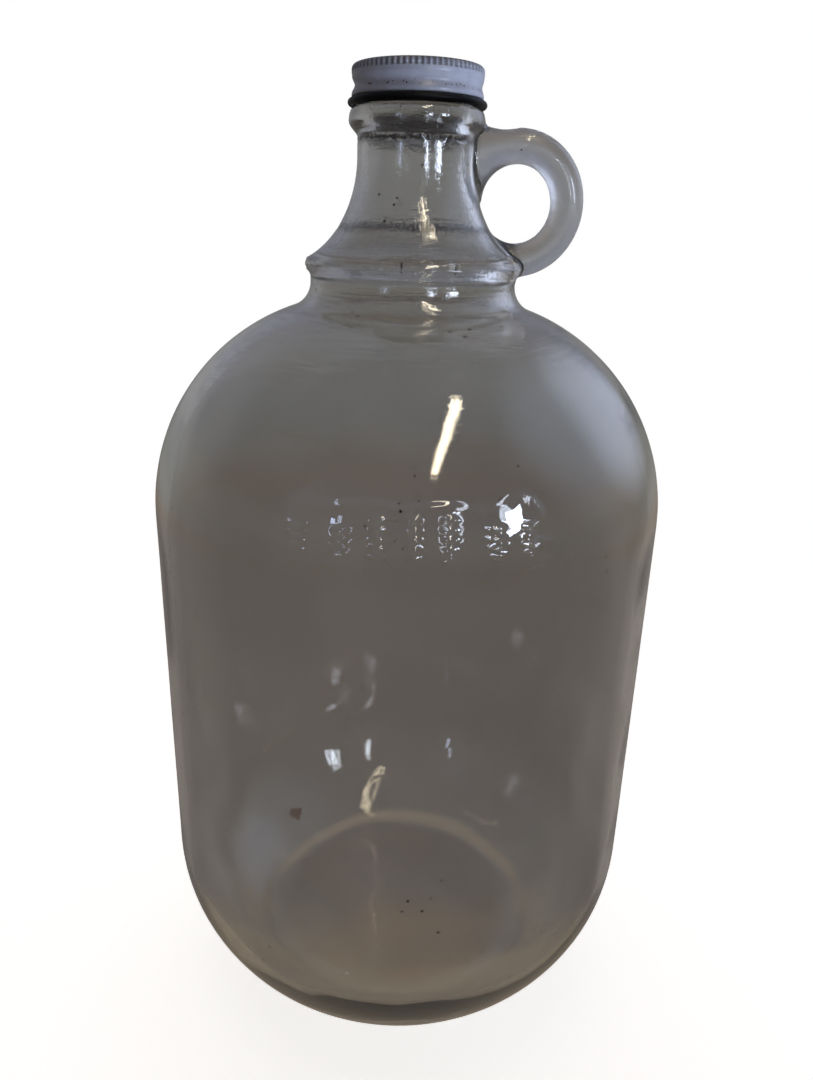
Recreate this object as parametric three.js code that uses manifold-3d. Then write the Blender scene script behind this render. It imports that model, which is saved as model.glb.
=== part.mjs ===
// One-gallon glass jug with a finger-ring handle, shut by a knurled metal screw cap.
// Millimetres, +Z up. The jug stands on z = 0, its axis is the Z axis and its handle points along +X.
// The front, which carries the moulded marks, faces -Y.

import * as THREE from "three";
import { mergeVertices } from "three/addons/utils/BufferGeometryUtils.js";
import Module from "manifold-3d";

const wasm = await Module();
wasm.setup();

const TURN = Math.PI * 2;
const DEGREES = Math.PI / 180;

// Driving dimensions of the glass, outside. Heel and shoulder are round arcs that meet the straight side.
const BODY_R = 81;
const HEEL = { radius: 60.4, centreZ: 52.6, fromDeg: -57 };
const SHOULDER = { radius: 65.8, centreZ: 173.1, fillet: 8 };
const BASE = { standR: 49.6, hollowR: 45.5, hollowZ: 4.2 }; // it stands on the ring between the two radii
const LOWER_NECK_R = 31.2; // the short upright wall between the shoulder and the ring
const RING = { tipR: 32.8, tipZ: 247.8, bottomZ: 245.2 };
const NECK_R = 17.2;
const FLARE = { a: 24.6, b: 31, topZ: 278.1 }; // a quarter ellipse that opens the neck out to the ring
const BEAD = { r: 19.75, midZ: 287.1, bottomZ: 283.1, topR: 18.9, topZ: 290.5 }; // a soft roll under the cap
const LIP = { z: 299.6, round: 0.9 };

// How thick the glass is
const WALL = 3.4;
const NECK_WALL = 3.2;
const HEEL_GLASS = 6;
const BASE_GLASS = 5.4;

// The screw thread climbs to the right, as seen from outside, and passes the front at frontZ
const THREAD = { pitch: 4.2, height: 1.0, halfWidth: 1.15, frontZ: 297.6, fadeDeg: 30 };

// Finger ring: a round bar that leaves the neck level under the bead, turns and ends in the flare.
// Its middle line is a circle drawn taller by stretch. The root and foot thicken it where it joins the neck.
const HANDLE = {
  centreX: 30.1,
  centreZ: 265.9,
  radius: 15.05,
  stretch: 1.053,
  halfThick: 4.8,
  halfWide: 4.8,
  sweepDeg: 190,
};
const HANDLE_ROOT = { x: 18.5, z: 281.2, rx: 7, ry: 5.8, rz: 6.2 };
const HANDLE_WEB = { x: 17.5, z: 273.5, rx: 5.6, ry: 5.2, rz: 6.5 };
const HANDLE_FOOT = { x: 29.6, z: 250, rx: 7, ry: 5.6, rz: 4.6 };

// Moulded marks: plain ladders of short ribs across the front, at angles from -Y towards +X
const MARKS = { midZ: 187, pitch: 2.3, ribHalfWidth: 1.5, ribHalfHeight: 0.75, raise: 0.5 };
const LADDERS = [
  { deg: -20, ribs: 4 },
  { deg: -12, ribs: 3 },
  { deg: -5, ribs: 6 },
  { deg: 1.5, ribs: 6 },
  { deg: 8, ribs: 6 },
  { deg: 17, ribs: 4 },
  { deg: 23, ribs: 4 },
];

// The cap, its liner and the dark ring under it
const GAP = 0.3; // between pieces that touch
const SEAL = { r: 19, thick: 2.1 };
const CAP = { r: 18.9, height: 8.4, sheet: 0.5, flare: 0.1 };
const KNURL = { ribs: 72, depth: 0.4, height: 2.4, bevel: 1.3 };
const GROOVE = { depth: 0.7, halfWidth: 1.3 }; // where the sheet is rolled in between the turns of thread
const LINER = { r: 17.4, thick: 0.9 };

const SEAL_Z = BEAD.topZ + GAP + SEAL.thick / 2;
const CAP_Z = BEAD.topZ + GAP + SEAL.thick + GAP;
const CAP_TOP = CAP_Z + CAP.height;

const at = (r, z) => new THREE.Vector2(r, z);

// Points on an ellipse round (centreR, centreZ), from one angle to another in degrees
function arc(centreR, centreZ, a, b, fromDeg, toDeg, steps) {
  return Array.from({ length: steps + 1 }, (_, i) => {
    const t = (fromDeg + ((toDeg - fromDeg) * i) / steps) * DEGREES;
    return at(centreR + a * Math.cos(t), centreZ + b * Math.sin(t));
  });
}

// The shoulder's arc, and the fillet that turns it up into a wall of radius wallR
function shoulderAndFillet(radius, fillet, wallR, shoulderSteps, filletSteps) {
  const centreR = BODY_R - SHOULDER.radius;
  const reach = radius + fillet;
  const meet = Math.acos((wallR + fillet - centreR) / reach) / DEGREES;
  const filletZ = SHOULDER.centreZ + reach * Math.sin(meet * DEGREES);
  return [
    ...arc(centreR, SHOULDER.centreZ, radius, radius, 0, meet, shoulderSteps),
    ...arc(wallR + fillet, filletZ, fillet, fillet, 180 + meet, 180, filletSteps).slice(1),
  ];
}

// The neck's flare, drawn inwards from the outer ellipse by inset, from the radius fromR up to its top
function flareArc(inset, fromR, steps) {
  const a = FLARE.a + inset;
  const b = FLARE.b + inset;
  const centreR = NECK_R + FLARE.a;
  const start = 180 + Math.acos((centreR - fromR) / a) / DEGREES;
  return arc(centreR, FLARE.topZ, a, b, start, 180, steps);
}

// Outside of the glass, from the middle of the base up to the middle of the lip
function outerProfile() {
  const hollow = [at(0, BASE.hollowZ), at(BASE.hollowR * 0.6, BASE.hollowZ * 0.7)];
  const stand = [at(BASE.hollowR, 0), at(BASE.standR, 0)];
  const heel = arc(BODY_R - HEEL.radius, HEEL.centreZ, HEEL.radius, HEEL.radius, HEEL.fromDeg, 0, 7);
  const shoulder = shoulderAndFillet(SHOULDER.radius, SHOULDER.fillet, LOWER_NECK_R, 9, 3);
  const ring = [
    at(LOWER_NECK_R, RING.bottomZ),
    at(RING.tipR - 0.3, RING.tipZ - 0.9),
    at(RING.tipR, RING.tipZ),
  ];
  const flare = flareArc(0, RING.tipR - 0.5, 7);
  const bead = [
    at(NECK_R, BEAD.bottomZ),
    at((NECK_R + BEAD.r) / 2, (BEAD.bottomZ + BEAD.midZ) / 2 - 0.6),
    at(BEAD.r - 0.3, BEAD.midZ - 1.3),
    at(BEAD.r, BEAD.midZ),
    at(BEAD.topR + 0.2, BEAD.topZ - 0.6),
    at(BEAD.topR - 0.4, BEAD.topZ),
    at(NECK_R, BEAD.topZ),
  ];
  const rows = 7;
  const finish = Array.from({ length: rows }, (_, i) =>
    at(NECK_R, SEAL_Z + ((LIP.z - LIP.round - SEAL_Z) * (i + 1)) / rows),
  );
  const lip = [at(NECK_R - LIP.round, LIP.z), at(0, LIP.z)];
  return [...hollow, ...stand, ...heel, ...shoulder, ...ring, ...flare, ...bead, ...finish, ...lip];
}

// Inside of the glass, from the middle of its floor up and out through the mouth
function innerProfile() {
  const floor = [at(0, BASE.hollowZ + BASE_GLASS), at(BASE.hollowR * 0.6, BASE.hollowZ * 0.7 + BASE_GLASS)];
  const heelR = BODY_R - HEEL.radius;
  const heel = arc(heelR, HEEL.centreZ, HEEL.radius - WALL, HEEL.radius - HEEL_GLASS, HEEL.fromDeg - 4, 0, 6);
  const wallR = LOWER_NECK_R - WALL;
  const shoulder = shoulderAndFillet(SHOULDER.radius - WALL, SHOULDER.fillet + WALL, wallR, 7, 3);
  const flare = flareArc(NECK_WALL, wallR, 5);
  const boreR = NECK_R - NECK_WALL;
  const openR = boreR + LIP.round;
  const above = LIP.z + 2;
  const mouth = [at(boreR, LIP.z - LIP.round), at(openR, LIP.z), at(openR, above), at(0, above)];
  return [...floor, ...heel, ...shoulder, ...flare, ...mouth];
}

// Outer radius of the side and shoulder at a height
function bodyRadius(z) {
  const up = Math.max(0, z - SHOULDER.centreZ);
  return BODY_R - SHOULDER.radius + Math.sqrt(SHOULDER.radius ** 2 - up ** 2);
}

// A turned shape standing on Z, from a profile of (radius, height) that starts and ends on the axis
function turned(profile, segments = 40) {
  const lathe = new THREE.LatheGeometry(profile, segments);
  lathe.rotateX(Math.PI / 2);
  return lathe;
}

// Moves each vertex of a turned shape outwards by push(angle, height, radius).
// The angle is 0 at the front, -Y, and grows towards +X.
function pushed(geometry, push) {
  const p = geometry.getAttribute("position");
  for (let i = 0; i < p.count; i++) {
    const r = Math.hypot(p.getX(i), p.getY(i));
    if (r < 1e-6) continue;
    const angle = Math.atan2(p.getX(i), -p.getY(i));
    const k = (r + push(angle, p.getZ(i), r)) / r;
    p.setXY(i, p.getX(i) * k, p.getY(i) * k);
  }
  return geometry;
}

// A closed geometry as a solid that can be joined and cut
function solid(geometry) {
  const g = geometry.clone();
  for (const name of ["normal", "uv"]) g.deleteAttribute(name);
  const merged = mergeVertices(g, 1e-4);
  return new wasm.Manifold(
    new wasm.Mesh({
      numProp: 3,
      vertProperties: Float32Array.from(merged.attributes.position.array),
      triVerts: Uint32Array.from(merged.index.array),
    }),
  );
}

function geometryOf(manifold) {
  const mesh = manifold.getMesh();
  const g = new THREE.BufferGeometry();
  g.setAttribute("position", new THREE.BufferAttribute(Float32Array.from(mesh.vertProperties), 3));
  g.setIndex(new THREE.BufferAttribute(Uint32Array.from(mesh.triVerts), 1));
  g.computeVertexNormals();
  return g;
}

// How much of a helical ridge or groove stands at this angle and height: 1 on its crest, 0 off it.
// It makes one turn, centred on the front, and fades out towards its ends at the back.
function alongThread(angle, z, frontZ, halfWidth) {
  const across = Math.abs(z - frontZ - (THREAD.pitch * angle) / TURN) / halfWidth;
  if (across >= 1) return 0;
  const fade = Math.min(1, (Math.PI - Math.abs(angle)) / (THREAD.fadeDeg * DEGREES));
  return fade * (0.5 + 0.5 * Math.cos(Math.PI * across));
}

function threadRidge(angle, z, r) {
  const onFinish = z > BEAD.topZ && r > NECK_R - 0.1;
  return onFinish ? THREAD.height * alongThread(angle, z, THREAD.frontZ, THREAD.halfWidth) : 0;
}

function capGroove(angle, z) {
  return -GROOVE.depth * alongThread(angle, z, THREAD.frontZ - THREAD.pitch / 2, GROOVE.halfWidth);
}

function ellipsoid({ x, z, rx, ry, rz }) {
  const ball = new THREE.SphereGeometry(1, 12, 8);
  ball.scale(rx, ry, rz);
  ball.translate(x, 0, z);
  return ball;
}

// The middle line of the finger ring, round its own centre's height
class HandleLine extends THREE.Curve {
  getPoint(t, target = new THREE.Vector3()) {
    const level = HANDLE.centreX - NECK_R + NECK_WALL / 2;
    const s = t * (level + HANDLE.radius * HANDLE.sweepDeg * DEGREES) - level;
    const a = Math.PI / 2 - Math.max(0, s) / HANDLE.radius;
    const x = HANDLE.centreX + Math.min(0, s) + HANDLE.radius * Math.cos(a);
    return target.set(x, 0, HANDLE.radius * Math.sin(a));
  }
}

function fingerRing() {
  const section = new THREE.Shape();
  section.absellipse(0, 0, HANDLE.halfThick, HANDLE.halfWide, 0, TURN);
  const along = { curveSegments: 6, steps: 20, extrudePath: new HandleLine() };
  const bar = new THREE.ExtrudeGeometry(section, along);
  bar.scale(1, 1, HANDLE.stretch);
  bar.translate(0, 0, HANDLE.centreZ);
  return bar;
}

// One short rib of the moulded marks, set into the wall so that only its back stands out
function markRib(angle, z) {
  const rib = new THREE.SphereGeometry(1, 5, 4);
  rib.scale(MARKS.ribHalfWidth, MARKS.raise * 2, MARKS.ribHalfHeight);
  rib.translate(0, MARKS.raise - bodyRadius(z), z);
  rib.rotateZ(angle);
  return solid(rib);
}

function glassJug() {
  let glass = solid(pushed(turned(outerProfile()), threadRidge));
  const joints = [HANDLE_ROOT, HANDLE_WEB, HANDLE_FOOT].map(ellipsoid);
  for (const piece of [fingerRing(), ...joints]) glass = glass.add(solid(piece));
  for (const { deg, ribs } of LADDERS)
    for (let i = 0; i < ribs; i++)
      glass = glass.add(markRib(deg * DEGREES, MARKS.midZ + (i - (ribs - 1) / 2) * MARKS.pitch));
  return geometryOf(glass.subtract(solid(turned(innerProfile()))));
}

function screwCap() {
  const ribZ = CAP_TOP - KNURL.height;
  const columns = KNURL.ribs * 2;
  const crownSide = [at(CAP.r - 0.4, ribZ - 0.4), at(CAP.r, ribZ), at(CAP.r, CAP_TOP - KNURL.bevel)];
  const crown = pushed(
    turned([at(0, ribZ - 0.4), ...crownSide, at(CAP.r - KNURL.bevel, CAP_TOP), at(0, CAP_TOP)], columns),
    (angle, z, r) => (r > CAP.r - 0.1 && Math.round((angle / TURN) * columns) % 2 ? -KNURL.depth : 0),
  );
  const rows = 8;
  const skirtHeight = CAP.height - KNURL.height;
  const side = Array.from({ length: rows + 1 }, (_, i) =>
    at(CAP.r - CAP.flare + CAP.flare * (1 - i / rows) ** 3, CAP_Z + (skirtHeight * i) / rows),
  );
  const skirt = pushed(turned([at(0, CAP_Z), ...side, at(0, ribZ)]), capGroove);
  const inside = side.map((p) => at(p.x - CAP.sheet, p.y));
  const roof = CAP_TOP - CAP.sheet;
  const roomTop = [at(inside[rows].x, roof - 0.6), at(inside[rows].x - 0.6, roof), at(0, roof)];
  const mouth = [at(0, CAP_Z - 1), at(inside[0].x, CAP_Z - 1)];
  const room = pushed(turned([...mouth, ...inside, ...roomTop]), capGroove);
  return geometryOf(solid(crown).add(solid(skirt)).subtract(solid(room)));
}

function capLiner() {
  const top = CAP_TOP - CAP.sheet - GAP;
  const bottom = top - LINER.thick;
  return turned([at(0, bottom), at(LINER.r, bottom), at(LINER.r, top), at(0, top)]);
}

// The dark round ring that fills the step between the cap's skirt and the glass bead
function sealRing() {
  return turned(arc(SEAL.r, SEAL_Z, SEAL.thick / 2, SEAL.thick / 2, 0, 360, 8));
}

const clearGlass = new THREE.MeshStandardMaterial({ color: 0x8a857c, roughness: 0.04, metalness: 0 });
const paintedTin = new THREE.MeshStandardMaterial({ color: 0xc9c9cf, roughness: 0.4, metalness: 0.1 });
const linerBoard = new THREE.MeshStandardMaterial({ color: 0x2a211a, roughness: 0.7, metalness: 0 });
const blackRubber = new THREE.MeshStandardMaterial({ color: 0x0c0b0b, roughness: 0.35, metalness: 0 });

const jug = new THREE.Group();
const pieces = [
  ["glass_jug", glassJug(), clearGlass],
  ["screw_cap", screwCap(), paintedTin],
  ["cap_liner", capLiner(), linerBoard],
  ["seal_ring", sealRing(), blackRubber],
];
for (const [name, geometry, material] of pieces) {
  const mesh = new THREE.Mesh(geometry, material);
  mesh.name = name;
  jug.add(mesh);
}

export default jug;
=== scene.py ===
import math

import bmesh
import bpy
from mathutils import Matrix, Vector, noise


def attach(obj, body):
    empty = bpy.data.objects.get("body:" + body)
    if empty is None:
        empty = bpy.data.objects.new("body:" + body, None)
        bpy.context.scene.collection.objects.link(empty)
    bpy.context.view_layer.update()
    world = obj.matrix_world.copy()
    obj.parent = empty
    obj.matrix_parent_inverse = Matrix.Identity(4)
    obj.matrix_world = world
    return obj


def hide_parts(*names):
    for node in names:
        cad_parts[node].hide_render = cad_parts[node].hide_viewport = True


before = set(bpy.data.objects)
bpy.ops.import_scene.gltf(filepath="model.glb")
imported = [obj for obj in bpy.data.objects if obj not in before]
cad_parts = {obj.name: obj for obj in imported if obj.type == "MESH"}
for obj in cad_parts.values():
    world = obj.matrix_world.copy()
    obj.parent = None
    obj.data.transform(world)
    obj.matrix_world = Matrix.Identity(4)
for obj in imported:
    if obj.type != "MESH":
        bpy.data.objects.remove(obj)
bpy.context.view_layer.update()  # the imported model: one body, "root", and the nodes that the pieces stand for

bl_info = {
    "name": "Glass jug",
    "version": (1, 0, 0),
    "blender": (4, 5, 0),
    "location": "3D View > Sidebar > Jug",
    "description": "A one-gallon glass jug with a finger ring and a screw cap, on a pale floor",
    "category": "Add Mesh",
}

MM = 0.001
GLASS_INSET = 0.04  # mm by which the smooth glass stays inside the frame's box

# Outside of the glass, in mm: round arcs for the heel and shoulder, a quarter ellipse for the flare
HEEL_R, HEEL_Z, HEEL_FROM = 60.4, 52.6, -57
SHOULDER_R, SHOULDER_Z, SHOULDER_FILLET = 65.8, 173.1, 8
STAND_R, HOLLOW_R, HOLLOW_Z = 49.6, 45.5, 4.2
LOWER_NECK_R = 31.2
RING_R, RING_Z, RING_FOOT_Z = 32.8, 247.8, 245.2
FLARE_A, FLARE_B, FLARE_TOP = 24.6, 31.0, 278.1
BEAD_R, BEAD_FOOT, BEAD_MID, BEAD_TOP = 19.75, 283.1, 287.1, 290.5
LIP_Z, LIP_ROUND = 299.6, 0.9
THREAD_PITCH, THREAD_HIGH, THREAD_HALF, THREAD_FRONT_Z = 4.2, 0.5, 1.15, 297.6

# Inside of the glass
NECK_WALL, HEEL_GLASS, FLOOR_GLASS = 3.2, 6.0, 5.4

# Finger ring: middle of its ellipse, how much taller than round it is, and half its bar, thick and wide
RING_X, RING_MID_Z, RING_STRETCH = 30.1, 265.95, 1.053
BAR_THICK, BAR_WIDE, BAR_SIDES = 4.85, 4.8, 96

# Where the bar grows out of the neck: a tall oval. Its end stays a gap off the glass, which a fillet fills.
ROOT_MID_Z, ROOT_HALF_Z, ROOT_HALF_Y, ROOT_DIP = 276.7, 10.1, 5.2, 0.6
FILLET_GAP, FILLET_SPREAD = 0.8, 0.9

# Ladders of short moulded ribs: angle from the front in degrees, number of ribs
LADDERS = ((-20, 4), (-12, 3), (-5, 6), (1.5, 6), (8, 6), (17, 4), (23, 4))
LADDER_Z, RIB_PITCH, RIB_HALF_WIDE, RIB_HALF_HIGH, RIB_RAISE = 187.0, 2.3, 1.5, 0.75, 0.7

# Mould lines round the neck: height, half height and depth in mm
MOULD_LINES = ((282.1, 0.9, 0.42), (258.6, 1.4, 0.3))

# Grit in those lines, and a fainter band under them: height and half height in mm, and how dense it gets
GRIT_LINES = ((282.2, 1.7, 0.97), (258.6, 2.2, 0.75), (253.4, 3.4, 0.12))

# The faint raised field that the ladders stand on: angles in degrees, heights and raise in mm
FIELD_DEG, FIELD_HALF_DEG, FIELD_Z, FIELD_HALF_Z, FIELD_RAISE = 1.5, 24, 186.5, 10.5, 0.45
MARKS_LOW, MARKS_HIGH = 174, 200  # mm, the heights between which the marks are

# Skin of the glass, as heights in m between which it sets in: dimples on the neck, ripples on the shoulder
HAMMERED, RIPPLED = (0.228, 0.246), (0.19, 0.225)

# Dust on the floor inside: radii and heights in m between which it fades out. Middle of the dried drop, in m
FILM_EDGE, FILM_TOP, STAIN_AT = (0.039, 0.046), (0.012, 0.016), (-0.0466, 0.0402, 0.015)

# Columns of the glass: fine ones across the front, where the marks are, and coarser ones round the rest
FRONT_HALF_DEG, FRONT_COLUMNS, REST_COLUMNS = 28, 80, 110


def linear(hexa):
    """A hex colour as linear red, green, blue and alpha."""
    parts = [int(hexa[i:i + 2], 16) / 255 for i in (1, 3, 5)]
    return tuple(c / 12.92 if c <= 0.04045 else ((c + 0.055) / 1.055) ** 2.4 for c in parts) + (1.0,)


def colour_property(name, description, hexa):
    """A colour setting that starts at a hex colour."""
    return bpy.props.FloatVectorProperty(name=name, description=description, subtype="COLOR", size=4,
                                         min=0, max=1, default=linear(hexa))


def node(tree, kind, values=None, links=None, **settings):
    """Adds a shader node with its settings, its inputs' values and what its inputs are linked from."""
    made = tree.nodes.new("ShaderNode" + kind)
    for name, value in settings.items():
        setattr(made, name, value)
    for socket, value in (values or {}).items():
        made.inputs[socket].default_value = value
    for socket, source in (links or {}).items():
        tree.links.new(source, made.inputs[socket])
    return made


def new_material(name):
    """An empty node material with its output, and its tree."""
    material = bpy.data.materials.new(name)
    material.use_nodes = True
    material.node_tree.nodes.clear()
    return material, material.node_tree


def arc(centre_r, centre_z, a, b, start, end, steps):
    """Points on an ellipse, from one angle to another in degrees."""
    turns = [math.radians(start + (end - start) * i / steps) for i in range(steps + 1)]
    return [(centre_r + a * math.cos(t), centre_z + b * math.sin(t)) for t in turns]


def upright(r, low, high, steps):
    """Points up or down a straight wall."""
    return [(r, low + (high - low) * i / steps) for i in range(steps + 1)]


def profile_edges(bm, points, angle=0.0):
    """A chain of vertices and edges through (radius, height) points in mm, turned about Z."""
    turn = Matrix.Rotation(angle, 3, "Z")
    verts = [bm.verts.new(turn @ Vector((r * MM, 0, z * MM))) for r, z in points]
    for a, b in zip(verts, verts[1:]):
        bm.edges.new((a, b))
    return verts


def spin(bm, points, columns, angle=0.0):
    """Turns a profile once round Z and closes it."""
    profile_edges(bm, points, angle)
    bmesh.ops.spin(bm, geom=bm.verts[:] + bm.edges[:], cent=(0, 0, 0), axis=(0, 0, 1),
                   angle=math.tau, steps=columns, use_merge=True)
    bmesh.ops.remove_doubles(bm, verts=bm.verts, dist=1e-6)


def finish_piece(bm, name, material, stands_for=()):
    """Makes a closed bmesh into a piece of the jug that rides on its one body."""
    bmesh.ops.recalc_face_normals(bm, faces=bm.faces)
    mesh = bpy.data.meshes.new(name)
    bm.to_mesh(mesh)
    bm.free()
    mesh.shade_smooth()
    mesh.materials.append(material)
    piece = bpy.data.objects.new(name, mesh)
    bpy.context.scene.collection.objects.link(piece)
    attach(piece, "root")
    if stands_for:
        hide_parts(*stands_for)
    return piece


def smooth_step(x):
    x = min(1.0, max(0.0, x))
    return x * x * (3 - 2 * x)


def shoulder_arc(body_r, radius, fillet, wall_r, steps, fillet_steps):
    """The shoulder's arc, by steps of (to angle, count), and the fillet that turns it up into the neck."""
    centre_r = body_r - SHOULDER_R
    reach = radius + fillet
    meet = math.degrees(math.acos((wall_r + fillet - centre_r) / reach))
    fillet_z = SHOULDER_Z + reach * math.sin(math.radians(meet))
    points, start = [(centre_r + radius, SHOULDER_Z)], 0.0
    for end, count in steps:
        end = meet if end is None else end
        points += arc(centre_r, SHOULDER_Z, radius, radius, start, end, count)[1:]
        start = end
    return points + arc(wall_r + fillet, fillet_z, fillet, fillet, 180 + meet, 180, fillet_steps)[1:]


def flare_arc(neck_r, inset, from_r, steps):
    """The flare, inset from its outer ellipse, from a radius up to the neck."""
    a, b = FLARE_A + inset, FLARE_B + inset
    centre_r = neck_r + FLARE_A
    start = 180 + math.degrees(math.acos((centre_r - from_r) / a))
    return arc(centre_r, FLARE_TOP, a, b, start, 180, steps)


def glass_outside(body_r, neck_r):
    """Profile of the outside, from the middle of the base to the lip."""
    hollow = [(HOLLOW_R * i / 14, HOLLOW_Z * (1 - (i / 14) ** 2)) for i in range(14)]
    stand = [(HOLLOW_R - 0.2, 0.12), (HOLLOW_R + 0.5, 0.0), (STAND_R - 0.8, 0.0), (STAND_R, 0.1),
             (STAND_R + 1.6, 0.75)]
    heel = arc(body_r - HEEL_R, HEEL_Z, HEEL_R, HEEL_R, HEEL_FROM, 0, 24)
    side = upright(body_r, HEEL_Z, SHOULDER_Z, 26)[1:-1]
    shoulder = shoulder_arc(body_r, SHOULDER_R, SHOULDER_FILLET, LOWER_NECK_R,
                            ((2.4, 2), (22, 44), (None, 30)), 9)
    ring = [(LOWER_NECK_R, RING_FOOT_Z - 1.2), (LOWER_NECK_R + 0.1, RING_FOOT_Z - 0.4),
            (LOWER_NECK_R + 0.5, RING_FOOT_Z + 0.3), (LOWER_NECK_R + 1.2, RING_FOOT_Z + 1.1),
            (RING_R - 0.35, RING_Z - 0.9), (RING_R - 0.08, RING_Z - 0.4), (RING_R, RING_Z),
            (RING_R - 0.1, RING_Z + 0.45)]
    flare = flare_arc(neck_r, 0, RING_R - 0.5, 40)
    neck = upright(neck_r, FLARE_TOP, BEAD_FOOT, 14)[1:]
    swell, rise = BEAD_R - neck_r, BEAD_MID - BEAD_FOOT
    bead = [(neck_r + swell * smooth_step((i / 9) ** 0.8), BEAD_FOOT + rise * i / 9) for i in range(1, 10)]
    bead += arc(BEAD_R - 1.35, BEAD_MID, 1.35, BEAD_TOP - BEAD_MID, 0, 82, 7)[1:] + [(BEAD_R - 1.9, BEAD_TOP)]
    finish = upright(neck_r, BEAD_TOP, LIP_Z - LIP_ROUND, 18)
    lip = arc(neck_r - LIP_ROUND, LIP_Z - LIP_ROUND, LIP_ROUND, LIP_ROUND, 0, 90, 4)[1:]
    return hollow + stand + heel + side + shoulder + ring + flare + neck + bead + finish + lip


def glass_inside(body_r, neck_r, wall):
    """Profile of the inside, from the lip down to the middle of the floor."""
    bore = neck_r - NECK_WALL
    mouth = [(bore + 0.8, LIP_Z), (bore + 0.25, LIP_Z - 0.25), (bore, LIP_Z - 0.8)]
    neck = upright(bore, LIP_Z - 0.8, FLARE_TOP, 10)[1:-1]
    wall_r = LOWER_NECK_R - wall
    flare = flare_arc(neck_r, NECK_WALL, wall_r, 22)[::-1]
    shoulder = shoulder_arc(body_r, SHOULDER_R - wall, SHOULDER_FILLET + wall, wall_r, ((None, 36),), 9)[::-1]
    side = upright(body_r - wall, SHOULDER_Z, HEEL_Z, 34)[1:-1]
    heel = arc(body_r - HEEL_R, HEEL_Z, HEEL_R - wall, HEEL_R - HEEL_GLASS, 0, HEEL_FROM - 1, 26)
    edge_r, edge_z = heel[-1]
    middle_z = HOLLOW_Z + FLOOR_GLASS
    floor = [(edge_r * i / 18, middle_z + (edge_z - middle_z) * (i / 18) ** 2) for i in range(17, -1, -1)]
    return mouth + neck + flare + shoulder + side + heel + floor


def thread_push(angle, z):
    """How far the thread stands out: one turn, fading out at the back."""
    across = abs(z - THREAD_FRONT_Z - THREAD_PITCH * angle / math.tau) / THREAD_HALF
    if across >= 1:
        return 0.0
    fade = min(1.0, (math.pi - abs(angle)) / math.radians(30))
    return THREAD_HIGH * fade * (0.5 + 0.5 * math.cos(math.pi * across))


def mark_push(angle, z, r):
    """How far a moulded rib, or the field under the ribs, stands out of the shoulder."""
    for degrees, count in LADDERS:
        across = (angle - math.radians(degrees)) * r / (RIB_HALF_WIDE * 1.15)
        if abs(across) >= 1:
            continue
        step = (z - LADDER_Z) / RIB_PITCH + (count - 1) / 2
        nearest = min(count - 1, max(0, round(step)))
        along = (step - nearest) * RIB_PITCH / (RIB_HALF_HIGH * 1.15)
        inside = 1 - across ** 4 - along ** 2
        if inside > 0:
            return field_push(angle, z) + RIB_RAISE * math.sqrt(inside)
    return field_push(angle, z)


def field_push(angle, z):
    """The soft-edged field round the ladders, which wanders as it fades."""
    wander = 0.25 * noise.noise(Vector((angle * 9, z / 4, 2.7)))
    across = 1 + wander - abs(math.degrees(angle) - FIELD_DEG) / FIELD_HALF_DEG
    along = 1 + wander - abs(z - FIELD_Z) / FIELD_HALF_Z
    return FIELD_RAISE * smooth_step(across * 16) * smooth_step(along * 8)


def mould_line(p, angle, z, height, half, depth):
    """A rough line round the neck, where the hot glass touched the mould last."""
    wander = 0.6 * noise.noise(Vector((math.cos(angle) * 3, math.sin(angle) * 3, height)))
    near = 1 - abs(z - height - wander) / half
    if near <= 0:
        return 0.0
    rough = noise.fractal(p / MM * 0.9, 0.6, 2.0, 3)
    return -depth * smooth_step(near) * (0.45 + 0.9 * rough)


class GlassSettings(bpy.types.PropertyGroup):
    """Sizes and colour of the glass."""

    body_radius: bpy.props.FloatProperty(
        name="Body radius", description="Outer radius of the body's straight side", default=0.081,
        min=0.05, unit="LENGTH")
    neck_radius: bpy.props.FloatProperty(
        name="Neck radius", description="Outer radius of the neck under the bead", default=0.0172,
        min=0.01, unit="LENGTH")
    wall: bpy.props.FloatProperty(
        name="Wall", description="Thickness of the side", default=0.0034, min=0.001, unit="LENGTH")
    ring_radius: bpy.props.FloatProperty(
        name="Finger ring radius", description="Half the width of the finger ring's middle line",
        default=0.01505, min=0.01, unit="LENGTH")
    ripple: bpy.props.FloatProperty(
        name="Ripple", description="How far the blown inner face wanders", default=0.00035, min=0.0,
        unit="LENGTH")
    tint: colour_property("Tint", "Colour that one wall gives the light", "#EDECE8")
    dirt: colour_property("Dirt", "Colour of the specks on the glass", "#2A2018")
    stain: colour_property("Stain", "Colour of the dried drop at the heel", "#95643A")
    grit: colour_property("Grit", "Colour of the grit in the mould lines", "#40382F")
    film: colour_property("Film", "Colour of the dust that has settled inside on the floor", "#E2D8C9")


def outer_push(p, angle, r, z, neck_r):
    """How far the outside wanders off its turned shape, with the thread, marks and mould lines."""
    push = 0.05 * noise.noise(p / MM / 18) - 0.03
    if z > BEAD_TOP and r > neck_r - 0.1:
        return thread_push(angle, z)
    if MARKS_LOW < z < MARKS_HIGH:
        return push + mark_push(angle, z, r)
    return push + sum(mould_line(p, angle, z, *line) for line in MOULD_LINES)


def inner_push(p, z, ripple):
    """How far the blown inside wanders, outwards and up: more in the heel, floor and neck."""
    push = ripple * noise.noise(p / MM / 27)
    lift = 0.0
    if z < 60:
        low = smooth_step((60 - z) / 45)
        lift = low * 0.45 * noise.noise(p / MM / 16 + Vector((7, 3, 1)))
        push += low * 0.32 * noise.noise(p / MM / 18 + Vector((1, 9, 4)))
    if z > 205:
        push += 0.18 * noise.noise(p / MM / 11)
    return push, lift


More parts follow.
